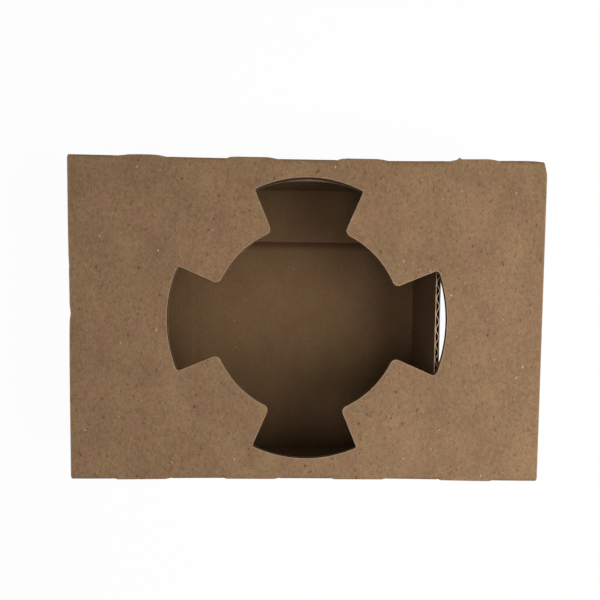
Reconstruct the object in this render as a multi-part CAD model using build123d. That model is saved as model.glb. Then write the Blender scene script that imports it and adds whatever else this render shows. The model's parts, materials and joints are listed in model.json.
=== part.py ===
"""Cup carrier: a low sleeve folded and glued from one blank of single-wall corrugated board.

The flutes run along X. The blank is, in order: glue flap, back wall, top panel with the cup hole,
front wall, floor. The floor has an end flap at each end: the right one is folded up to prop the top
panel, and the left one lies flat. The carrier stands on its floor at Z = 0, centred on X and Y.
"""

import os
from math import atan2, radians, sqrt, tan

from build123d import *

# Driving dimensions, in millimetres and degrees
panel_length = 190.0  # along the flutes, from raw edge to raw edge
panel_width = 128.0  # over the outsides of the two long walls
inside_height = 43.0  # from the floor up to the underside of the top panel

caliper = 2.4  # thickness of the board
liner = 0.3  # each flat facing
medium = 0.3  # the fluted paper between the facings
flute_pitch = 6.3
flute_crest = 1.0  # width that a flute is glued to a facing
crush = 2.0  # flattened board beside each fold, where no flute is open
fold_radius = 2.2  # outside of a fold

cup_radius = 38.0  # circle that the four petals end on
slot_reach = 56.2  # radius of the slots' outer ends
slot_neck = 28.7  # width of a slot between two petal tips
slot_flare = 21.4  # angle of each slot side to the slot's middle line
petal_round = 2.5
slot_round = 1.0

flap_clearance = 0.5  # raised end flap to the top panel
flap_side_clearance = 1.0  # end flaps to the long walls
glue_flap_width = 24.5  # along the floor from the back wall
glue_flap_setback = 2.5  # glue flap to the end folds
glue_flap_taper = 12.0  # angle of its two ends

slit_length = 24.0  # cuts that perforate the two upper folds
slit_pitch = 44.0
slit_gap = 0.4
lip = 0.7  # how far the panel's edge stands out at a slit
crease_width = 2.4  # scored line where the flat end flap would fold
crease_depth = 0.2

# Derived places
half_length = panel_length / 2
half_width = panel_width / 2
height = inside_height + 2 * caliper
panel_underside = height - caliper
flap_length = inside_height - flap_clearance
end_fold = half_length - flap_length  # inner face of the raised end flap
flap_width = panel_width - 2 * (caliper + flap_side_clearance)
wall_inside = half_width - caliper
wall_middle = half_width - caliper / 2
half_pitch = flute_pitch / 2


def channels(span):
    """Hollow channels across a strip of board, drawn with the strip's middle line along X.

    Each channel is a trapezium with its wide side on one facing. Neighbours lie on opposite facings,
    and the web of fluted paper between them keeps the thickness of the medium.
    """
    flute_depth = caliper - 2 * liner
    slope = atan2(flute_depth - medium, half_pitch - flute_crest)
    corner = medium * tan(slope / 2)
    wide = (flute_pitch - flute_crest - corner) / 2
    narrow = (flute_crest - corner) / 2
    at_facing = flute_depth / 2
    at_crest = medium - flute_depth / 2
    upper = Polygon(
        (-wide, at_facing), (-narrow, at_crest), (narrow, at_crest), (wide, at_facing), align=None
    )
    lower = mirror(upper, about=Plane.XZ)
    count = int(span / half_pitch)
    first = -(count - 1) / 2 * half_pitch
    return [Pos(first + i * half_pitch, 0) * (upper if i % 2 else lower) for i in range(count)]


def run(faces, plane, distance):
    """Channels drawn on a plane and carried a distance along its normal."""
    return [extrude(plane * face, amount=distance) for face in faces]


def fold_round(plane, distance):
    """What is taken off a square corner at the plane's origin to leave the round of a fold."""
    square = Rectangle(fold_radius, fold_radius, align=Align.MIN)
    corner = square - Pos(fold_radius, fold_radius) * Circle(fold_radius)
    return extrude(plane * corner, amount=distance)


def box(x, y, z):
    """Box between two places on each axis."""
    size = [b - a for a, b in (x, y, z)]
    return Pos(x[0], y[0], z[0]) * Box(*size, align=Align.MIN)


def top_and_walls():
    """Top panel with the front and back walls folded down from it."""
    sleeve = box((-half_length, half_length), (-half_width, half_width), (0, height))
    inside = box((-half_length, half_length), (-wall_inside, wall_inside), (0, panel_underside))
    under_back = box((-half_length, half_length), (wall_inside, half_width), (0, caliper))
    front_fold = fold_round(Plane((-half_length, -half_width, height), (0, 0, -1), (1, 0, 0)), panel_length)
    back_fold = fold_round(Plane((-half_length, half_width, height), (0, -1, 0), (1, 0, 0)), panel_length)
    return sleeve - inside - under_back - front_fold - back_fold


def floor():
    """Floor folded inward from the front wall and reaching under the back one."""
    plate = box((-end_fold, end_fold), (-half_width, half_width), (0, caliper))
    fold = fold_round(Plane((-end_fold, -half_width, 0), (0, 1, 0), (1, 0, 0)), 2 * end_fold)
    return plate, fold


def flat_flap():
    """Left end flap, lying in the plane of the floor beyond its scored line."""
    return box((-half_length, -end_fold), (-flap_width / 2, flap_width / 2), (0, caliper))


def crease():
    """Scored line across the floor at the flat flap."""
    groove = Polygon((-crease_width / 2, 0), (crease_width / 2, 0), (0, -crease_depth), align=None)
    plane = Plane((-end_fold, flap_width / 2, caliper), (1, 0, 0), (0, -1, 0))
    return extrude(plane * groove, amount=flap_width)


def raised_flap():
    """Right end flap, folded up square to the floor."""
    wall = box(
        (end_fold, end_fold + caliper), (-flap_width / 2, flap_width / 2), (0, caliper + flap_length)
    )
    fold = fold_round(Plane((end_fold + caliper, -flap_width / 2, 0), (0, 0, 1), (0, 1, 0)), flap_width)
    return wall - fold


def glue_flap():
    """Flap folded inward from the back wall and glued down on the floor, with tapered ends."""
    root = end_fold - glue_flap_setback
    tip = root - glue_flap_width * tan(radians(glue_flap_taper))
    edge = wall_inside - glue_flap_width
    outline = Polygon(
        (-root, half_width), (-root, wall_inside), (-tip, edge),
        (tip, edge), (root, wall_inside), (root, half_width),
        align=None,
    )
    flap = extrude(Pos(0, 0, caliper) * outline, amount=caliper)
    fold = fold_round(Plane((-root, half_width, caliper), (0, 0, 1), (1, 0, 0)), 2 * root)
    return flap, fold


def slit_places():
    """Middles of the slits along a perforated fold."""
    count = int((panel_length - slit_length) / slit_pitch) + 1
    return [(i - (count - 1) / 2) * slit_pitch for i in range(count)]


def lips():
    """Edges of the top panel that spring straight out at the slits of both upper folds."""
    start = (-slit_length / 2, half_width)
    end = (slit_length / 2, half_width)
    edge = ThreePointArc(start, (0, half_width + lip), end)
    back = Polyline(end, (slit_length / 2, wall_inside), (-slit_length / 2, wall_inside), start)
    one = extrude(make_face([edge, back]), amount=caliper)
    places = [Pos(x, 0, panel_underside) for x in slit_places()]
    return [turn * place * one for place in places for turn in (Rot(0, 0, 0), Rot(0, 0, 180))]


def slits():
    """Cuts through the two upper folds, under the lips."""
    low = panel_underside - slit_gap
    cuts = []
    for x in slit_places():
        along = (x - slit_length / 2, x + slit_length / 2)
        cuts.append(box(along, (wall_inside, half_width + lip), (low, panel_underside)))
        cuts.append(box(along, (-half_width - lip, -wall_inside), (low, panel_underside)))
    return cuts


def cup_hole():
    """Round hole with four flaring slots, which leave four petals to grip a cup."""
    neck_reach = sqrt(cup_radius**2 - (slot_neck / 2) ** 2)
    spread = tan(radians(slot_flare))
    at_middle = slot_neck / 2 - neck_reach * spread
    at_end = slot_neck / 2 + (slot_reach - neck_reach) * spread
    slot = Polygon((0, -at_middle), (slot_reach, -at_end), (slot_reach, at_end), (0, at_middle), align=None)
    slot &= Circle(slot_reach)
    outline = Circle(cup_radius) + [Rot(0, 0, turn) * slot for turn in (0, 90, 180, 270)]
    between = (neck_reach + slot_reach) / 2
    tips = [v for v in outline.vertices() if Vector(v.X, v.Y).length < between]
    outline = fillet(tips, petal_round)
    ends = [v for v in outline.vertices() if Vector(v.X, v.Y).length > slot_reach - slot_round / 2]
    outline = fillet(ends, slot_round)
    return extrude(Pos(0, 0, panel_underside) * outline, amount=caliper)


def flute_channels():
    """Hollow channels of the fluted board, open at every raw edge that crosses them."""
    across = flap_width - 2 * crush
    left = -half_length
    top = run(channels(across), Plane((left, 0, height - caliper / 2), (0, 1, 0), (1, 0, 0)), panel_length)

    wall_top = panel_underside - crush
    walls = []
    for y, wall_bottom in ((-wall_middle, caliper + crush), (wall_middle, 2 * caliper + crush)):
        middle = (wall_bottom + wall_top) / 2
        wall_plane = Plane((left, y, middle), (0, 0, 1), (1, 0, 0))
        walls += run(channels(wall_top - wall_bottom), wall_plane, panel_length)

    floor_plane = Plane((left, 0, caliper / 2), (0, 1, 0), (1, 0, 0))
    under = run(channels(across), floor_plane, half_length + end_fold - crush)

    flap_plane = Plane((end_fold + caliper / 2, 0, caliper + crush), (0, 1, 0), (0, 0, 1))
    flap = run(channels(across), flap_plane, flap_length - crush)

    glue_middle = wall_inside - (crush + glue_flap_width) / 2
    glue_plane = Plane((-end_fold, glue_middle, 1.5 * caliper), (0, 1, 0), (1, 0, 0))
    glued = run(channels(glue_flap_width - crush), glue_plane, 2 * end_fold)
    return top + walls + under + flap + glued


def carrier_board():
    """The whole folded and glued board."""
    plate, front_fold = floor()
    glued, back_fold = glue_flap()
    board = top_and_walls() + plate + flat_flap() + raised_flap() + glued + lips()
    board -= [front_fold, back_fold, crease(), cup_hole()]
    board -= slits()
    board -= flute_channels()
    return board


if __name__ == "__main__":
    os.makedirs("parts", exist_ok=True)
    export_step(carrier_board(), "parts/carrier_board.step")
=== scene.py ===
import json
from math import atan2, ceil, cos, pi, radians, sin, sqrt

import bpy
import numpy as np
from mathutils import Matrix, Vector
from mathutils.geometry import delaunay_2d_cdt


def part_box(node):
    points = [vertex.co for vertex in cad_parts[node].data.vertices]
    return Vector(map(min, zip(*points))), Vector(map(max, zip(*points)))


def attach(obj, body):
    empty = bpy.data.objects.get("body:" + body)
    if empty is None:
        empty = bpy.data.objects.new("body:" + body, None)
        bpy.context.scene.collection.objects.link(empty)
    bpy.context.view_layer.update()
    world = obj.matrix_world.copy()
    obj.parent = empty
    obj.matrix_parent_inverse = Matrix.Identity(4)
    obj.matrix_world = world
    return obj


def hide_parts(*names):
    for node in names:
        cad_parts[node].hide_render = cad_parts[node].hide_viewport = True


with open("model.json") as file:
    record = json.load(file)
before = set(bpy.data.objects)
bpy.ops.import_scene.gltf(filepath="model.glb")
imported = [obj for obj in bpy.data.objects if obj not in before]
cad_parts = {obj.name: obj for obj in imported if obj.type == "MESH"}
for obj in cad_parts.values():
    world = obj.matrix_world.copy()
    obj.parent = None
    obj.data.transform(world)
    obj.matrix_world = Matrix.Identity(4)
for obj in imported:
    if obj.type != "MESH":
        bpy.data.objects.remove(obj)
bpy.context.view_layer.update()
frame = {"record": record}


# The blank is one sheet of single-wall corrugated kraft board, cut flat by a steel-rule die. Across the
# flutes it holds the glue flap, back wall, top panel, front wall and floor, in that order. Places on it
# are (across, along) in millimetres, and the flutes run along.
mm = 0.001
low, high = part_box("carrier_board")
cup = next(mount["dims"] for mount in frame["record"]["mounts"] if mount["name"] == "cup_hole")
half_length = (high.x - low.x) / 2 / mm
carrier_height = (high.z - low.z) / mm
half_width = 64.0  # to the outside of a wall, without the lips at the slits
caliper = cup["length_mm"]
half_board = caliper / 2
fold_radius = 1.25  # of the middle of the board
half_arc = fold_radius * pi / 4

glue_width = 24.5
glue_root = 50.0  # half the glue flap's length at its fold
glue_tip = 44.8  # half its length at its free edge
end_fold = 52.5  # from the middle to the fold of each end flap
flap_clearance = 0.5
flap_side_clearance = 1.0
relief = 0.5  # cut beside a fold, which frees the wall next to it

wall_middle = half_width - half_board
panel_level = carrier_height - half_board
floor_level = half_board
flap_top = carrier_height - caliper - flap_clearance
flap_half_width = half_width - caliper - flap_side_clearance

GLUE, BACK, TOP, FRONT, FLOOR = range(5)
turns = [
    (half_width - caliper - glue_width, floor_level + caliper),
    (wall_middle, floor_level + caliper),
    (wall_middle, panel_level),
    (-wall_middle, panel_level),
    (-wall_middle, floor_level),
    (half_width, floor_level),
]
leg_start, leg_end, leg_from, leg_run = [], [], [], []
reached = 0.0
for leg, (here, there) in enumerate(zip(np.array(turns), np.array(turns)[1:])):
    run = (there - here) / np.linalg.norm(there - here)
    here = here + run * (fold_radius if leg > GLUE else 0)
    there = there - run * (fold_radius if leg < FLOOR else 0)
    leg_start.append(reached)
    leg_end.append(reached + np.linalg.norm(there - here))
    leg_from.append(here)
    leg_run.append(run)
    reached = leg_end[leg] + 2 * half_arc
fold_line = [end + half_arc for end in leg_end[:FLOOR]]
panel_middle = (leg_start[TOP] + leg_end[TOP]) / 2

back_foot = leg_start[BACK] - (leg_from[BACK][1] - caliper)
front_foot = leg_end[FRONT] + floor_level + fold_radius
flap_near = leg_start[FLOOR] - flap_half_width - leg_from[FLOOR][0]
flap_far = flap_near + 2 * flap_half_width
flap_bend = end_fold + half_board - fold_radius
flap_end = flap_bend + 2 * half_arc + flap_top - floor_level - fold_radius
floor_begins = flap_near - 0.1  # a hair before the end flaps, so that their edges count as floor


def end_of_blank(free_edge):
    """Outline of one end of the blank, from the glue flap to the floor, with its end flap's free edge."""
    return [
        (0, glue_tip),
        (leg_end[GLUE], glue_root),
        (leg_start[BACK], glue_root),
        (leg_start[BACK], glue_root + relief),
        (back_foot, glue_root + relief),
        (back_foot, half_length),
        (front_foot, half_length),
        (front_foot, end_fold + relief),
        (leg_end[FRONT], end_fold + relief),
        (leg_end[FRONT], end_fold),
        (flap_near, end_fold),
        (flap_near, free_edge),
        (flap_far, free_edge),
        (flap_far, end_fold),
        (leg_end[FLOOR], end_fold),
    ]


# The cup hole is a circle with four flaring slots, which leave four petals that bend down beside a cup.
# Its cutting rule is bent by hand, so each slot has its own width between the petal tips, reach and round
# of its outer corners, and bow of its outer end. The hole lies a touch askew on the panel.
cup_radius = cup["r_mm"]
right_slot = {"turn": 0, "neck": 28.2, "reach": 56.9, "bow": -0.15, "corner_round": 1.8}
front_slot = {"turn": -90, "neck": 29.0, "reach": 55.4, "bow": 0.4, "corner_round": 0.8}
left_slot = {"turn": -180, "neck": 28.2, "reach": 56.0, "bow": 0.1, "corner_round": 1.4}
back_slot = {"turn": -270, "neck": 29.0, "reach": 56.3, "bow": 0.75, "corner_round": 0.8}
slot_flare = radians(23.0)
petal_round = 2.5
hole_askew = radians(0.46)
hole_shift = (-0.18, -0.17)
cut_step = 0.6
least_slant = 1e-6


def arc(middle, radius, begin, end):
    """Points along an arc, from one angle to another, about a cut step apart."""
    count = max(4, ceil(abs(end - begin) * radius / cut_step))
    angles = np.linspace(begin, end, count)
    return [(middle[0] + radius * cos(a), middle[1] + radius * sin(a)) for a in angles]


def stepped(loop):
    """A closed loop with points a cut step apart along its slanted sides."""
    points = []
    for here, there in zip(np.array(loop), np.array(loop[1:] + loop[:1])):
        slanted = np.all(np.abs(there - here) > least_slant)
        count = ceil(np.linalg.norm(there - here) / cut_step) if slanted else 1
        points += [tuple(here + (there - here) * i / count) for i in range(count)]
    return points


def slot_side(neck, reach, bow, corner_round):
    """Half of one slot, from the middle of a petal to the middle of the slot's outer end."""
    tip = np.array([sqrt(cup_radius**2 - neck**2 / 4), neck / 2])
    side = np.array([cos(slot_flare), sin(slot_flare)])
    board = np.array([-sin(slot_flare), cos(slot_flare)])

    def touching(start, radius):
        """Where a line from the start, along the slot's side, meets a circle about the hole's middle."""
        along_side = -start @ side + sqrt((start @ side) ** 2 - start @ start + radius**2)
        return start + along_side * side

    petal = touching(tip + petal_round * board, cup_radius + petal_round)
    corner = touching(tip - corner_round * board, reach - corner_round)
    petal_turn = atan2(petal[1], petal[0])
    corner_turn = atan2(corner[1], corner[0])
    outer_end = []
    for x, y in arc((0, 0), reach, corner_turn, 0):
        further = 1 + bow / reach * (1 - (atan2(y, x) / corner_turn) ** 2)
        outer_end.append((x * further, y * further))
    return (
        arc((0, 0), cup_radius, pi / 4, petal_turn)[:-1]
        + arc(petal, petal_round, petal_turn + pi, slot_flare + 1.5 * pi)
        + arc(corner, corner_round, slot_flare + 0.5 * pi, corner_turn)[:-1]
        + outer_end
    )


hole_edge = []
for slot in (right_slot, front_slot, left_slot, back_slot):
    half_slot = slot_side(slot["neck"], slot["reach"], slot["bow"], slot["corner_round"])
    one_slot = half_slot + [(x, -y) for x, y in reversed(half_slot[1:-1])]
    turn = radians(slot["turn"]) - hole_askew
    for x, y in one_slot:
        right = hole_shift[0] + x * cos(turn) - y * sin(turn)
        back = hole_shift[1] + x * sin(turn) + y * cos(turn)
        hole_edge.append((panel_middle - back, right))
hole_edge = stepped(hole_edge)
blank_edge = stepped(end_of_blank(flap_end) + [(s, -x) for s, x in reversed(end_of_blank(half_length))])


# The two upper folds are perforated: slits with ties between them. At a tie the board bends round, and
# at a slit the panel's edge springs out straight over the top of the wall. At the back the left ends of
# the slits hang back, and one slit has a nib of torn board.
slit_length = 24.0
slit_pitch = 44.0
slit_places = [slit_pitch * i for i in (-1.5, -0.5, 0.5, 1.5)]
slit_gap = 0.35
slit_settle = 4.0  # length of wall or panel over which a slit's spring or a tie's bulge dies out
slit_wall_out = 0.5
back_side, front_side = 1, -1
lip = {back_side: 0.4, front_side: 0.6}
tie_bulge = {back_side: 0.35, front_side: 0.85}
slit_rise = {back_side: (1.8, 7.0), front_side: (2.0, 3.0)}  # in which a slit opens, left and right
slit_start = {back_side: 0.9, front_side: 0.0}  # how far a left end hangs back
slit_start_length = np.array([10.0, 4.0, 4.0, 7.0])
torn_nib = 0.7
torn_nib_place = 60.0
torn_nib_width = 0.6


def smooth(t):
    """Rise from 0 to 1 with level ends."""
    t = np.clip(t, 0, 1)
    return t * t * (3 - 2 * t)


def spring(along, side):
    """How far the slits of one side have sprung open: 0 at a tie, 1 in a slit."""
    opened = np.zeros(len(along))
    for place in slit_places:
        left = smooth((along - place + slit_length / 2) / slit_rise[side][0])
        right = smooth((place + slit_length / 2 - along) / slit_rise[side][1])
        opened = np.maximum(opened, left * right)
    return opened


def lip_reach(along, side):
    """How far the panel's edge stands out at the slits of one side, set back at their left ends."""
    slit, past_start = np.divmod(along + slit_length / 2 - slit_places[0], slit_pitch)
    settling = slit_start_length[np.clip(slit.astype(int), 0, len(slit_places) - 1)]
    nib = torn_nib * np.exp(-(((along - torn_nib_place) / torn_nib_width) ** 2)) * (side == back_side)
    return lip[side] - slit_start[side] * (1 - smooth(past_start / settling)) + nib


# Each of the three papers of the board is the same blank, ruled into small faces so that it can be
# fluted and folded. Lines are ruled closer where it bends: at the folds, slits and nib, and along the glue
# flap's raw edge, where shade is painted. The slits are cut open, with a point of their own on each side.
fold_lines = 9
bend_lines = 7
nib_lines = 7
into_slit = (0, 0.6, 1.2, 1.8, 3.0, 5.0, 7.0)  # lines from each end of a slit
flap_rim_shade_width = 0.3  # width of the painted shade along the glue flap's raw edge
hole_margin = 0.3  # share of a step that the ruled points keep from the hole's edge
same_point = 1e-4
on_line = 1e-3


def ruled(stops, step):
    """Lines through all the stops, with even steps between them."""
    stops = sorted(set(np.round(stops, 4)))
    lines = []
    for here, there in zip(stops, stops[1:]):
        lines += list(np.linspace(here, there, max(1, ceil((there - here) / step)), endpoint=False))
    return np.array(lines + stops[-1:])


def within(loop, points):
    """Which points lie inside a closed loop."""
    inside = np.zeros(len(points), bool)
    for (s0, x0), (s1, x1) in zip(loop, loop[1:] + loop[:1]):
        if x0 != x1:
            level = (x0 > points[:, 1]) != (x1 > points[:, 1])
            inside ^= level & (points[:, 0] < s0 + (points[:, 1] - x0) * (s1 - s0) / (x1 - x0))
    return inside


def distance(loop, points, far=4.0):
    """How far each point lies from a closed loop, up to a far limit."""
    nearest = np.full(len(points), far)
    for here, there in zip(np.array(loop), np.array(loop[1:] + loop[:1])):
        low_end, high_end = np.minimum(here, there) - far, np.maximum(here, there) + far
        close = np.flatnonzero(np.all((points > low_end) & (points < high_end), axis=1))
        run = there - here
        share = np.clip((points[close] - here) @ run / (run @ run), 0, 1)
        gap = np.linalg.norm(points[close] - here - share[:, None] * run, axis=1)
        nearest[close] = np.minimum(nearest[close], gap)
    return nearest


def cut_sheet(across_step, along_step):
    """Points and triangles of the flat blank, with the hole cut out and the slits open."""
    corners = end_of_blank(flap_end) + [(s, -x) for s, x in end_of_blank(half_length)]
    fold_stops = [line + half_arc * share for line in fold_line for share in np.linspace(-1, 1, fold_lines)]
    slit_stops = [
        place + end * (slit_length / 2 - way) for place in slit_places for end in (-1, 1) for way in into_slit
    ]
    bend_stops = list(flap_bend + half_arc * np.linspace(0, 2, bend_lines))
    nib_stops = list(torn_nib_place + torn_nib_width * np.linspace(-2, 2, nib_lines))
    across_lines = ruled([s for s, x in corners] + fold_stops + [flap_rim_shade_width, 2 * flap_rim_shade_width], across_step)
    along_lines = ruled([x for s, x in corners] + slit_stops + bend_stops + nib_stops, along_step)
    grid = np.stack(np.meshgrid(across_lines, along_lines, indexing="ij"), -1).reshape(-1, 2)
    grid = grid[(distance(hole_edge, grid) > hole_margin * across_step) & ~within(hole_edge, grid)]

    points, edges = list(map(tuple, grid)), []
    for loop in (blank_edge, hole_edge):
        first = len(points)
        points += loop
        edges += [(first + i, first + (i + 1) % len(loop)) for i in range(len(loop))]
    for line in (fold_line[BACK], fold_line[TOP]):
        for place in slit_places:
            edges.append((len(points), len(points) + 1))
            points += [(line, place - slit_length / 2), (line, place + slit_length / 2)]
    found = delaunay_2d_cdt([Vector(p) for p in points], edges, [], 0, same_point)
    points, faces = np.array([tuple(p) for p in found[0]]), np.array(found[2])

    middles = points[faces].mean(1)
    faces = faces[within(blank_edge, middles) & ~within(hole_edge, middles)]
    triangles = points[faces]
    one, two = triangles[:, 1] - triangles[:, 0], triangles[:, 2] - triangles[:, 0]
    turned = one[:, 0] * two[:, 1] < one[:, 1] * two[:, 0]
    faces[turned] = faces[turned][:, ::-1]

    for line in (fold_line[BACK], fold_line[TOP]):
        from_slit = np.min([np.abs(points[:, 1] - place) for place in slit_places], axis=0)
        cut = (np.abs(points[:, 0] - line) < on_line) & (from_slit < slit_length / 2 - on_line)
        second = np.arange(len(points))
        second[cut] = len(points) + np.arange(cut.sum())
        beyond = points[faces][:, :, 0].mean(1) > line
        faces[beyond] = second[faces[beyond]]
        other_side = points[cut] + (same_point, 0)
        points[cut] -= (same_point, 0)
        points = np.vstack([points, other_side])

    used = np.unique(faces)
    renumbered = np.zeros(len(points), int)
    renumbered[used] = np.arange(len(used))
    return points[used], renumbered[faces]


# Handling has left its marks. The walls splay at the open ends, the right end is cut a touch long, the
# left raw edge is dented, the back right corner is crushed, and a bend runs in from the left edge.
splay = {(back_side, -1): 0.5, (back_side, 1): 1.0, (front_side, -1): 0.6, (front_side, 1): 0.65}
splay_from = 30.0
right_end_long = 0.45
right_end_from = 60.0
dents = ((2.0, 0.4, 2.2), (8.0, 0.3, 16.0))  # place along the left edge, depth and width
dent_from = 82.0
dent_run = 12.0
crushed_corner = (95.4, 64.6)
crush = (1.0, 0.5)  # how far the corner is pushed in, along and across the carrier
crush_reach = 6.0
crush_depth = 16.0
bend_place = 20.3
bend_depth = 0.4
bend_reach_back = 3.0
bend_reach_front = 0.9
bend_from = 46.0
bend_run = 12.0


def handled(x, y, z):
    """Where points of the folded carrier lie after it has been handled."""
    on_top = z > panel_level - caliper
    to_end = smooth((np.abs(x) - splay_from) / (half_length - splay_from))
    share = to_end * z / carrier_height * np.abs(y) / half_width
    for (side, end), amount in splay.items():
        y = y + side * amount * share * ((y * side > 0) & (x * end > 0))
    x = x + right_end_long * np.clip((x - right_end_from) / (half_length - right_end_from), 0, 1)
    dent = sum(depth * np.exp(-(((y - place) / width) ** 2)) for place, depth, width in dents)
    x = x + on_top * dent * smooth((-x - dent_from) / dent_run)
    away = np.hypot(x - crushed_corner[0], y - crushed_corner[1])
    pressed = smooth(1 - away / crush_reach) * smooth(1 - (carrier_height - z) / crush_depth)
    behind = y - bend_place
    bend = bend_depth * np.exp(-np.where(behind > 0, behind / bend_reach_back, -behind / bend_reach_front))
    bend *= on_top * smooth((-x - bend_from) / bend_run)
    return x - crush[0] * pressed, y - crush[1] * pressed, z - bend


# Folding takes each point of the flat board to its place on the carrier: round the four long folds, out
# flat at the slits, and up at the right end flap, whose free edge the die has pinched. The left end flap
# stays flat beyond its scored line.
crease_depth = 0.2
crease_width = 0.9
crease_reach = 4.0
flap_pinch = 0.18
flap_pinch_reach = 4.0


def round_folds(across, along):
    """Where the middle of the board lies across the carrier, as (y, z), and which way is outwards."""
    place, outward = np.zeros((len(across), 2)), np.zeros((len(across), 2))
    for leg in range(GLUE, FLOOR + 1):
        run = leg_run[leg]
        out = np.array([run[1], -run[0]])
        flat = (across >= leg_start[leg]) & (across <= leg_end[leg])
        place[flat] = leg_from[leg] + (across[flat] - leg_start[leg])[:, None] * run
        outward[flat] = out
        if leg < FLOOR:
            round_fold = (across > leg_end[leg]) & (across < leg_start[leg + 1])
            turn = ((across[round_fold] - leg_end[leg]) / fold_radius)[:, None]
            outward[round_fold] = np.cos(turn) * out + np.sin(turn) * run
            bend_start = leg_from[leg] + (leg_end[leg] - leg_start[leg]) * run
            place[round_fold] = bend_start + fold_radius * (outward[round_fold] - out)

    under_back = (across < leg_start[BACK]) & (np.abs(along) > glue_root + relief / 2)
    under_front = (across > leg_end[FRONT]) & (across < floor_begins)
    under_front &= np.abs(along) > end_fold + relief / 2
    for leg, foot in ((BACK, under_back), (FRONT, under_front)):
        run = leg_run[leg]
        place[foot] = leg_from[leg] + (across[foot] - leg_start[leg])[:, None] * run
        outward[foot] = (run[1], -run[0])
    return place, outward


def spring_slits(across, along, place, outward):
    """Springs the panel's edges and the tops of the walls out of the two upper folds at their slits."""
    slit_bottom = panel_level - half_board - slit_gap
    settled = panel_level - fold_radius - slit_settle
    for line, side in ((fold_line[BACK], back_side), (fold_line[TOP], front_side)):
        opened = spring(along, side)[:, None]
        into_panel = (across - line) * side
        bulge = tie_bulge[side] * smooth((half_arc + slit_settle - np.abs(into_panel)) / slit_settle)
        place[:, 0] += side * bulge

        edge = (into_panel > 0) & (into_panel <= half_arc)
        lip_end = fold_radius + half_board + lip_reach(along[edge], side)
        reach = (1 - into_panel[edge] / half_arc) * lip_end
        sprung = np.stack([side * (wall_middle - fold_radius + reach), np.full(len(reach), panel_level)], 1)
        place[edge] += (sprung - place[edge]) * opened[edge]
        outward[edge] += ((0, 1) - outward[edge]) * opened[edge]

        wall = (into_panel < 0) & (into_panel >= -half_arc - slit_settle)
        drop = -into_panel[wall] * (slit_bottom - settled) / (half_arc + slit_settle)
        pushed = slit_wall_out * smooth(1 + into_panel[wall] / (half_arc + slit_settle))
        sprung = np.stack([side * (wall_middle + pushed), slit_bottom - drop], 1)
        place[wall] += (sprung - place[wall]) * opened[wall]
        outward[wall] += ((side, 0) - outward[wall]) * opened[wall]
    outward /= np.linalg.norm(outward, axis=1)[:, None]


def fold_up(points, through):
    """Places in millimetres of points at a height through the board, from its middle outwards."""
    across, along = np.clip(points[:, 0], leg_start[GLUE], leg_end[FLOOR]), points[:, 1]
    place, outward = round_folds(across, along)
    spring_slits(across, along, place, outward)
    x = along.copy()
    y, z = (place + through[:, None] * outward).T

    on_floor = across >= floor_begins
    score = on_floor & (np.abs(along + end_fold) < crease_reach)
    above = (half_board - through[score]) / caliper
    z[score] -= crease_depth * above * np.exp(-(((along[score] + end_fold) / crease_width) ** 2))
    beyond = along - flap_bend
    bending = on_floor & (beyond > 0) & (beyond < 2 * half_arc)
    turn = beyond[bending] / fold_radius
    x[bending] = flap_bend + (fold_radius + through[bending]) * np.sin(turn)
    z[bending] = floor_level + fold_radius - (fold_radius + through[bending]) * np.cos(turn)
    raised = on_floor & (beyond >= 2 * half_arc)
    pinched = 1 - flap_pinch * smooth(1 - (flap_end - along[raised]) / flap_pinch_reach)
    x[raised] = flap_bend + fold_radius - half_board + (through[raised] + half_board) * pinched
    z[raised] = floor_level + fold_radius + beyond[raised] - 2 * half_arc
    return np.stack(handled(x, y, z), 1)


# The glue flap is stuck down on the floor. Shade is painted dark along the flap's raw edge and on the
# floor just beside it, fading away from the edge.
# how far the painted shade reaches over the floor from the flap's edge
flap_shade_reach = 4.0


def glue_stain(points, inside):
    """How much painted shade a paper takes: along the flap's raw edge, and inside on the floor beside it."""
    across, along = points.T
    from_flap = turns[GLUE][0] - leg_from[FLOOR][0] - (across - leg_start[FLOOR])
    shade_beside_flap = inside * smooth(1 - from_flap / flap_shade_reach) * (across > leg_start[FLOOR])
    rim = 1 - smooth(across / flap_rim_shade_width - 1)
    return np.maximum(shade_beside_flap, rim) * smooth(glue_tip - np.abs(along))


# Kraft paper is unbleached pulp, pressed and left uncoated: matte, brown, mottled by how the pulp settled,
# with short fibres and specks of bark. Its sizes are in millimetres. Real fibres are some hundredths thick,
# and real specks smaller too: both are drawn coarser, so that they show.
bark = "#54392A"
bleached = "#D8C8B4"
# colour of the painted shade beside the glue flap
flap_shade_colour = "#4E3320"
pulp_stretch = 1.5  # across the flutes
cloud_size = 12.0
cloud_weight = 0.7
pulp_size = 1.5
grain_size = 0.6
grain_weight = 0.4
darkest, palest = 0.5, 1.6  # sums of clouds, pulp and grain that give the two tones
dye_size = 7.0
dye_drift = 0.006  # of the hue, either way
fibre_length = 1.8
fibre_width = 0.5
fibre_tilt = (0.4, 0.3)  # in radians, so that fibres show on the walls as on the top panel
fibre_faint, fibre_clear = 0.66, 0.8
fibres = (  # turn in degrees, colour, strength
    (20, bark, 0.3), (65, bark, 0.4), (80, bleached, 0.1), (115, bark, 0.45),
)
ragged_size = 0.5
ragged_reach = 0.9
specks = (  # spacing, size as a share of it, colour, strength
    (1.8, 0.19, bark, 0.4), (3.2, 0.16, bark, 0.75), (6.5, 0.09, bark, 0.95), (5.5, 0.06, bleached, 0.9),
)
# width of the pale rim at raw edges: frayed fibre and a painted highlight along the cut
fray_and_highlight_width = 0.45
paper_relief = 0.06
paper_relief_strength = 0.2
paper_roughness = 0.82
paper_specular = 0.2


def linear(colour):
    """Linear colour from an sRGB hex value."""
    parts = [int(colour[i:i + 2], 16) / 255 for i in (1, 3, 5)]
    return [p / 12.92 if p <= 0.04045 else ((p + 0.055) / 1.055) ** 2.4 for p in parts] + [1.0]


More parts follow.
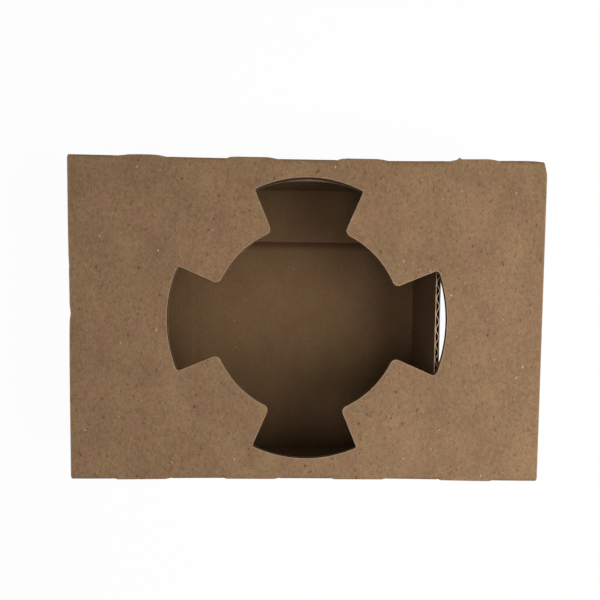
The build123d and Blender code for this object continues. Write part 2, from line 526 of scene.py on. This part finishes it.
def add(tree, kind, inputs=None, **settings):
    """Adds a node with its settings, and sets or links its inputs."""
    node = tree.nodes.new(kind)
    for name, value in settings.items():
        setattr(node, name, value)
    for name, value in (inputs or {}).items():
        if isinstance(value, bpy.types.NodeSocket):
            tree.links.new(value, node.inputs[name])
        else:
            node.inputs[name].default_value = value
    return node


def kraft_paper(name, pale, dark, flecked, cut, fray_and_highlight):
    """Kraft between two tones, with fibres and specks as strong as flecked, and raw edges made pale by
    frayed fibre and a painted highlight.
    """
    material = bpy.data.materials.new(name)
    material.use_nodes = True
    tree = material.node_tree
    shader = tree.nodes["Principled BSDF"]
    where = add(tree, "ShaderNodeTexCoord").outputs["Object"]
    drawn = add(
        tree, "ShaderNodeMapping",
        {"Vector": where, "Scale": (mm, pulp_stretch * mm, pulp_stretch * mm)}, vector_type="TEXTURE",
    ).outputs[0]

    # Mottle: clouds where the pulp settled, its clumps and its grain, and a slight drift of hue.
    clouds = add(tree, "ShaderNodeTexNoise", {"Vector": drawn, "Scale": 1 / cloud_size, "Detail": 2.0})
    pulp = add(
        tree, "ShaderNodeTexNoise",
        {"Vector": drawn, "Scale": 1 / pulp_size, "Detail": 2.0, "Roughness": 0.6},
    )
    grain = add(tree, "ShaderNodeTexNoise", {"Vector": drawn, "Scale": 1 / grain_size, "Detail": 1.0})
    tone = add(
        tree, "ShaderNodeMath",
        {0: clouds.outputs["Fac"], 1: cloud_weight, 2: pulp.outputs["Fac"]}, operation="MULTIPLY_ADD",
    )
    tone = add(
        tree, "ShaderNodeMath",
        {0: grain.outputs["Fac"], 1: grain_weight, 2: tone.outputs[0]}, operation="MULTIPLY_ADD",
    )
    tone = add(
        tree, "ShaderNodeMapRange", {"Value": tone.outputs[0], "From Min": darkest, "From Max": palest}
    )
    colour = add(
        tree, "ShaderNodeMix",
        {"Factor": tone.outputs[0], "A": linear(dark), "B": linear(pale)}, data_type="RGBA",
    ).outputs["Result"]
    dye = add(tree, "ShaderNodeTexNoise", {"Vector": drawn, "Scale": 1 / dye_size, "Detail": 1.0})
    warmth = add(
        tree, "ShaderNodeMapRange",
        {
            "Value": dye.outputs["Fac"], "From Min": 0.3, "From Max": 0.7,
            "To Min": 0.5 - dye_drift, "To Max": 0.5 + dye_drift,
        },
    )
    colour = add(
        tree, "ShaderNodeHueSaturation", {"Hue": warmth.outputs[0], "Color": colour}
    ).outputs["Color"]

    # Fibres that lie several ways, and ragged specks of bark and bleached paper.
    for turn, hue, strength in fibres:
        lie = add(
            tree, "ShaderNodeMapping",
            {
                "Vector": where, "Rotation": (*fibre_tilt, radians(turn)),
                "Scale": (fibre_length * mm, fibre_width * mm, fibre_width * mm),
            },
            vector_type="TEXTURE",
        )
        strand = add(tree, "ShaderNodeTexNoise", {"Vector": lie.outputs[0], "Scale": 1.0, "Detail": 0.0})
        shows = add(
            tree, "ShaderNodeMapRange",
            {
                "Value": strand.outputs["Fac"], "From Min": fibre_faint, "From Max": fibre_clear,
                "To Max": strength * flecked,
            },
        )
        colour = add(
            tree, "ShaderNodeMix",
            {"Factor": shows.outputs[0], "A": colour, "B": linear(hue)}, data_type="RGBA",
        ).outputs["Result"]
    torn = add(tree, "ShaderNodeTexNoise", {"Vector": drawn, "Scale": 1 / ragged_size, "Detail": 1.0})
    ragged = add(
        tree, "ShaderNodeVectorMath",
        {0: torn.outputs["Color"], 1: [ragged_reach] * 3, 2: drawn}, operation="MULTIPLY_ADD",
    )
    for spacing, size, hue, strength in specks:
        speck = add(tree, "ShaderNodeTexVoronoi", {"Vector": ragged.outputs[0], "Scale": 1 / spacing})
        shows = add(
            tree, "ShaderNodeMapRange",
            {
                "Value": speck.outputs["Distance"], "From Min": size, "From Max": size / 3,
                "To Max": strength * flecked,
            },
        )
        colour = add(
            tree, "ShaderNodeMix",
            {"Factor": shows.outputs[0], "A": colour, "B": linear(hue)}, data_type="RGBA",
        ).outputs["Result"]

    # Pale raw edges, partly frayed fibre and partly a painted highlight, and painted shade by the glue flap.
    raw = add(tree, "ShaderNodeAttribute", attribute_name="raw_edge")
    rim = add(
        tree, "ShaderNodeMapRange",
        {
            "Value": raw.outputs["Fac"], "From Min": fray_and_highlight_width, "From Max": fray_and_highlight_width / 3,
            "To Max": fray_and_highlight,
        },
    )
    colour = add(
        tree, "ShaderNodeMix",
        {"Factor": rim.outputs[0], "A": colour, "B": linear(cut)}, data_type="RGBA",
    ).outputs["Result"]
    # painted shade beside the glue flap's raw edge, as read from the board
    flap_shade_node = add(tree, "ShaderNodeAttribute", attribute_name="glue_stain")
    colour = add(
        tree, "ShaderNodeMix",
        {"Factor": flap_shade_node.outputs["Fac"], "A": colour, "B": linear(flap_shade_colour)}, data_type="RGBA",
    ).outputs["Result"]
    tree.links.new(colour, shader.inputs["Base Color"])

    height = add(tree, "ShaderNodeMath", {0: pulp.outputs["Fac"], 1: grain.outputs["Fac"]}, operation="ADD")
    bump = add(
        tree, "ShaderNodeBump",
        {"Height": height.outputs[0], "Strength": paper_relief_strength, "Distance": paper_relief * mm},
    )
    tree.links.new(bump.outputs[0], shader.inputs["Normal"])
    shader.inputs["Roughness"].default_value = paper_roughness
    shader.inputs["Specular IOR Level"].default_value = paper_specular
    return material


# The outer facing is the best paper, mid brown with plain specks. The inner one is an even, darker copy of
# it, darkened as painted shade for the carrier's inside. The fluting is darker still, as painted shade in
# the hollows between the facings. The cut thickness of all three shows pale, because the die breaks open
# clean fibre.
# Its raw edges pale strongly: frayed fibre and a painted highlight along the cut.
kraft_facing = kraft_paper("kraft_facing", "#A07F5D", "#745A42", 1.0, "#B89E82", 0.35)
# The inside paper: the facing's tones darkened, painted shade for the inside of the carrier.
kraft_inside = kraft_paper("kraft_inside", "#755A3C", "#604830", 0.2, "#B9A48C", 0.15)
# The fluting paper, darkened nearly black: painted shade in the hollows between the facings.
kraft_fluting = kraft_paper("kraft_fluting", "#3E2F22", "#2E2218", 0.2, "#A08C76", 0.4)
kraft_cut = kraft_paper("kraft_cut_edge", "#C9B297", "#A88C70", 0.3, "#C9B297", 0.15)


# The fluting is the middle paper, set into waves by heated rolls and glued to both facings. The waves are
# crushed flat along each fold, where the die scored the board, and it stands back a little at the hole.
paper = 0.32
flute_pitch = 6.3
flute_crush = 2.2
fluting_recess = 0.5
pinch_reach = 1.5
crisp_edge = radians(50)


def standing(points):
    """How far the flutes stand: 1 in open board, 0 along a fold."""
    across, along = points.T
    nearest = np.min([np.abs(across - line) for line in fold_line], axis=0)
    end_lines = np.minimum(np.abs(along + end_fold), np.abs(along - flap_bend - half_arc))
    nearest = np.where(across >= floor_begins, np.minimum(nearest, end_lines), nearest)
    return smooth((nearest - half_arc) / flute_crush)


def flat_sheet(name, points, faces, raw_edge, painted_flap_shade):
    """The cut blank lying flat, in millimetres, with what its waves and its material read."""
    mesh = bpy.data.meshes.new(name)
    mesh.from_pydata([(s, x, 0) for s, x in points], [], faces.tolist())
    # the painted shade beside the glue flap goes with the board as an attribute
    read = {"raw_edge": raw_edge, "standing": standing(points), "glue_stain": painted_flap_shade}
    for attribute, values in read.items():
        mesh.attributes.new(attribute, "FLOAT", "POINT").data.foreach_set("value", values.astype(np.float32))
    piece = bpy.data.objects.new(name, mesh)
    bpy.context.scene.collection.objects.link(piece)
    return piece


def settle(piece):
    """Turns a piece with its modifiers into a plain mesh."""
    shown = piece.evaluated_get(bpy.context.evaluated_depsgraph_get())
    piece.data = bpy.data.meshes.new_from_object(shown)
    piece.modifiers.clear()


def fold_sheet(piece, points, through, upper, lower):
    """Folds a flat sheet into its place, gives it the thickness of paper and a material on each side."""
    folded = fold_up(points, through) * mm
    piece.data.vertices.foreach_set("co", folded.astype(np.float32).ravel())
    piece.data.materials.clear()
    for material in (upper, lower, kraft_cut):
        piece.data.materials.append(material)
    thickness = piece.modifiers.new("paper", "SOLIDIFY")
    thickness.thickness = paper * mm
    thickness.offset = 0
    thickness.material_offset = 1
    thickness.material_offset_rim = 2
    settle(piece)
    piece.data.polygons.foreach_set("use_smooth", np.ones(len(piece.data.polygons), bool))
    piece.data.set_sharp_from_angle(angle=crisp_edge)
    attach(piece, "root")


def fluting_tree():
    """Sets a flat sheet into waves across it, of a pitch and depth, as far as its flutes stand."""
    tree = bpy.data.node_groups.new("fluting", "GeometryNodeTree")
    tree.interface.new_socket("Geometry", in_out="INPUT", socket_type="NodeSocketGeometry")
    for name in ("Pitch", "Depth", "First Crest"):
        tree.interface.new_socket(name, in_out="INPUT", socket_type="NodeSocketFloat")
    tree.interface.new_socket("Paper", in_out="INPUT", socket_type="NodeSocketMaterial")
    tree.interface.new_socket("Geometry", in_out="OUTPUT", socket_type="NodeSocketGeometry")
    given = add(tree, "NodeGroupInput").outputs
    spot = add(tree, "ShaderNodeSeparateXYZ", {0: add(tree, "GeometryNodeInputPosition").outputs[0]})
    past = add(tree, "ShaderNodeMath", {0: spot.outputs["X"], 1: given["First Crest"]}, operation="SUBTRACT")
    waves = add(tree, "ShaderNodeMath", {0: past.outputs[0], 1: given["Pitch"]}, operation="DIVIDE")
    turn = add(tree, "ShaderNodeMath", {0: waves.outputs[0], 1: 2 * pi}, operation="MULTIPLY")
    wave = add(tree, "ShaderNodeMath", {0: turn.outputs[0]}, operation="COSINE")
    stands = add(tree, "GeometryNodeInputNamedAttribute", {"Name": "standing"}, data_type="FLOAT")
    share = add(
        tree, "ShaderNodeMath", {0: wave.outputs[0], 1: stands.outputs["Attribute"]}, operation="MULTIPLY"
    )
    rise = add(tree, "ShaderNodeMath", {0: share.outputs[0], 1: given["Depth"]}, operation="MULTIPLY")
    lift = add(tree, "ShaderNodeCombineXYZ", {"Z": rise.outputs[0]})
    waved = add(tree, "GeometryNodeSetPosition", {"Geometry": given["Geometry"], "Offset": lift.outputs[0]})
    whole = add(tree, "GeometryNodeRealizeInstances", {0: waved.outputs[0]})
    papered = add(tree, "GeometryNodeSetMaterial", {"Geometry": whole.outputs[0], "Material": given["Paper"]})
    add(tree, "NodeGroupOutput", {0: papered.outputs[0]})
    return tree


first_crest = panel_middle
points, faces = cut_sheet(across_step=flute_pitch / 10, along_step=14.0)
raw_edge = distance(blank_edge, points)
fluting = flat_sheet("board_fluting", points, faces, raw_edge, glue_stain(points, inside=False))
waves = fluting.modifiers.new("fluting", "NODES")
waves.node_group = fluting_tree()
depth = half_board - 1.5 * paper  # brings its crests up to the facings
# the fluting takes the darkened paper: painted shade between the facings
sizes = {"Pitch": flute_pitch, "Depth": depth, "First Crest": first_crest, "Paper": kraft_fluting}
for socket in waves.node_group.interface.items_tree:
    if socket.name in sizes:
        waves[socket.identifier] = sizes[socket.name]
settle(fluting)
flat = np.empty(3 * len(fluting.data.vertices), np.float32)
fluting.data.vertices.foreach_get("co", flat)
from_middle = points - (panel_middle, 0)
outwards = from_middle / np.linalg.norm(from_middle, axis=1)[:, None]
points += outwards * (fluting_recess * smooth(1 - distance(hole_edge, points) / pinch_reach))[:, None]
fold_sheet(fluting, points, flat.reshape(-1, 3)[:, 2].astype(float), kraft_fluting, kraft_fluting)


# The two facings are flat kraft papers glued to the crests of the fluting, one on each side. They sag a
# little between crests, which leaves a faint washboard along the board. The inner one is cut last, and
# its edge is left standing out a little at the back slot, where alone its cut shows pale: frayed fibre
# and a painted highlight.
washboard = 0.05
die_burr = 1.0
burr_half_length = 25.0
burr_rise = 10.0
no_fray_or_highlight = 1.0  # distance added to a raw edge where it isn't to show the pale fray and painted highlight
points, faces = cut_sheet(across_step=flute_pitch / 7, along_step=5.0)
crest = np.cos(2 * pi * (points[:, 0] - first_crest) / flute_pitch)
sag = washboard * standing(points) / 2
face_middle = half_board - paper / 2
raw_edge = np.minimum(distance(blank_edge, points), distance(hole_edge, points))
outer_facing = flat_sheet("board_outer_facing", points, faces, raw_edge, glue_stain(points, inside=False))
# The outer facing's underside, toward the flutes, takes the darkened fluting paper: painted shade.
fold_sheet(outer_facing, points, face_middle - sag * (1 - crest), kraft_facing, kraft_fluting)
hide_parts("carrier_board")
at_back_slot = smooth((panel_middle - points[:, 0] - cup_radius) / burr_rise)
at_back_slot *= points[:, 0] > leg_start[TOP]
at_back_slot *= smooth(1 - np.abs(points[:, 1]) / burr_half_length)
raw_edge = raw_edge + no_fray_or_highlight * (1 - at_back_slot)
inner_facing = flat_sheet("board_inner_facing", points, faces, raw_edge, glue_stain(points, inside=True))
points[:, 0] += die_burr * at_back_slot * smooth(1 - distance(hole_edge, points) / pinch_reach)
# The inner facing's upper side, toward the flutes, takes the darkened fluting paper: painted shade.
fold_sheet(inner_facing, points, sag * (1 + crest) - face_middle, kraft_fluting, kraft_inside)


# The stage is a sweep of white paper. To the camera and in reflections it glows nearly white and keeps a
# faint shadow, and to the object it is a plain grey that throws little light back.
floor_size = 6.0
corner = floor_size / 2
white_share = 0.96
mesh = bpy.data.meshes.new("floor")
corners = [(-corner, -corner, 0), (corner, -corner, 0), (corner, corner, 0), (-corner, corner, 0)]
mesh.from_pydata(corners, [], [(0, 1, 2, 3)])
floor = bpy.data.objects.new("floor", mesh)
bpy.context.scene.collection.objects.link(floor)
white_paper = bpy.data.materials.new("white_paper_sweep")
white_paper.use_nodes = True
tree = white_paper.node_tree
tree.nodes.clear()
path = add(tree, "ShaderNodeLightPath").outputs
seen = add(tree, "ShaderNodeMath", {0: path["Is Camera Ray"], 1: path["Is Glossy Ray"]}, operation="MAXIMUM")
seen = add(tree, "ShaderNodeMath", {0: seen.outputs[0], 1: path["Is Transmission Ray"]}, operation="MAXIMUM")
colour = add(
    tree, "ShaderNodeMix",
    {"Factor": seen.outputs[0], "A": linear("#B0B0B0"), "B": linear("#FFFFFF")}, data_type="RGBA",
)
matte = add(tree, "ShaderNodeBsdfDiffuse", {"Color": colour.outputs["Result"]})
glow = add(tree, "ShaderNodeEmission", {"Color": linear("#FFFFFF"), "Strength": 1.0})
share = add(tree, "ShaderNodeMath", {0: seen.outputs[0], 1: white_share}, operation="MULTIPLY")
surface = add(tree, "ShaderNodeMixShader", {0: share.outputs[0], 1: matte.outputs[0], 2: glow.outputs[0]})
add(tree, "ShaderNodeOutputMaterial", {"Surface": surface.outputs[0]})
mesh.materials.append(white_paper)


# The light is soft: a dim white room, a large softbox to the right, one nearly overhead, and a small low
# one behind. Each lamp is aimed at the middle of the top panel.
ambient = 0.04
softboxes = (  # tilt from overhead and turn in degrees, distance and width in metres, power in watts
    ("softbox_right", 42, -14, 0.47, 0.34, 2.08),
    ("softbox_above", 14, 225, 0.6, 0.4, 1.1),
    ("softbox_behind", 84, 110, 0.9, 0.2, 1.2),
)
world = bpy.data.worlds.new("studio")
bpy.context.scene.world = world
world.use_nodes = True
tree = world.node_tree
tree.nodes.clear()
path = add(tree, "ShaderNodeLightPath").outputs
seen = add(tree, "ShaderNodeMath", {0: path["Is Camera Ray"], 1: path["Is Glossy Ray"]}, operation="MAXIMUM")
seen = add(tree, "ShaderNodeMath", {0: seen.outputs[0], 1: path["Is Transmission Ray"]}, operation="MAXIMUM")
strength = add(tree, "ShaderNodeMapRange", {"Value": seen.outputs[0], "To Min": ambient, "To Max": 1.0})
sky = add(tree, "ShaderNodeBackground", {"Color": linear("#FFFFFF"), "Strength": strength.outputs[0]})
add(tree, "ShaderNodeOutputWorld", {"Surface": sky.outputs[0]})

lit_middle = Vector((0, 0, carrier_height * mm))
for name, tilt, turn, away, width, power in softboxes:
    lamp = bpy.data.lights.new(name, "AREA")
    lamp.shape = "DISK"
    lamp.size = width
    lamp.energy = power
    tilt, turn = radians(tilt), radians(turn)
    way = Vector((sin(tilt) * cos(turn), sin(tilt) * sin(turn), cos(tilt)))
    softbox = bpy.data.objects.new(name, lamp)
    softbox.location = lit_middle + way * away
    softbox.rotation_euler = (-way).to_track_quat("-Z", "Y").to_euler()
    bpy.context.scene.collection.objects.link(softbox)


# The camera looks down from close above the carrier, a few degrees off straight, and is shifted as the
# photograph's framing needs. Its focus and middle are in pixels of that square picture.
photo_side = 600
photo_focus = 556.3
photo_middle = (302.0, 354.9)
camera_place = (-6.91, -1.32, 271.87)
camera_turn = (-3.19, -1.235, 0.618)
camera = bpy.data.cameras.new("camera")
camera.sensor_width = 36.0
camera.lens = photo_focus / photo_side * camera.sensor_width
camera.shift_x = 0.5 - photo_middle[0] / photo_side
camera.shift_y = photo_middle[1] / photo_side - 0.5
camera.clip_start = 0.01
camera_object = bpy.data.objects.new("camera", camera)
camera_object.location = Vector(camera_place) * mm
camera_object.rotation_euler = [radians(turn) for turn in camera_turn]
bpy.context.scene.collection.objects.link(camera_object)
bpy.context.scene.camera = camera_object
bpy.context.scene.view_settings.view_transform = "Standard"
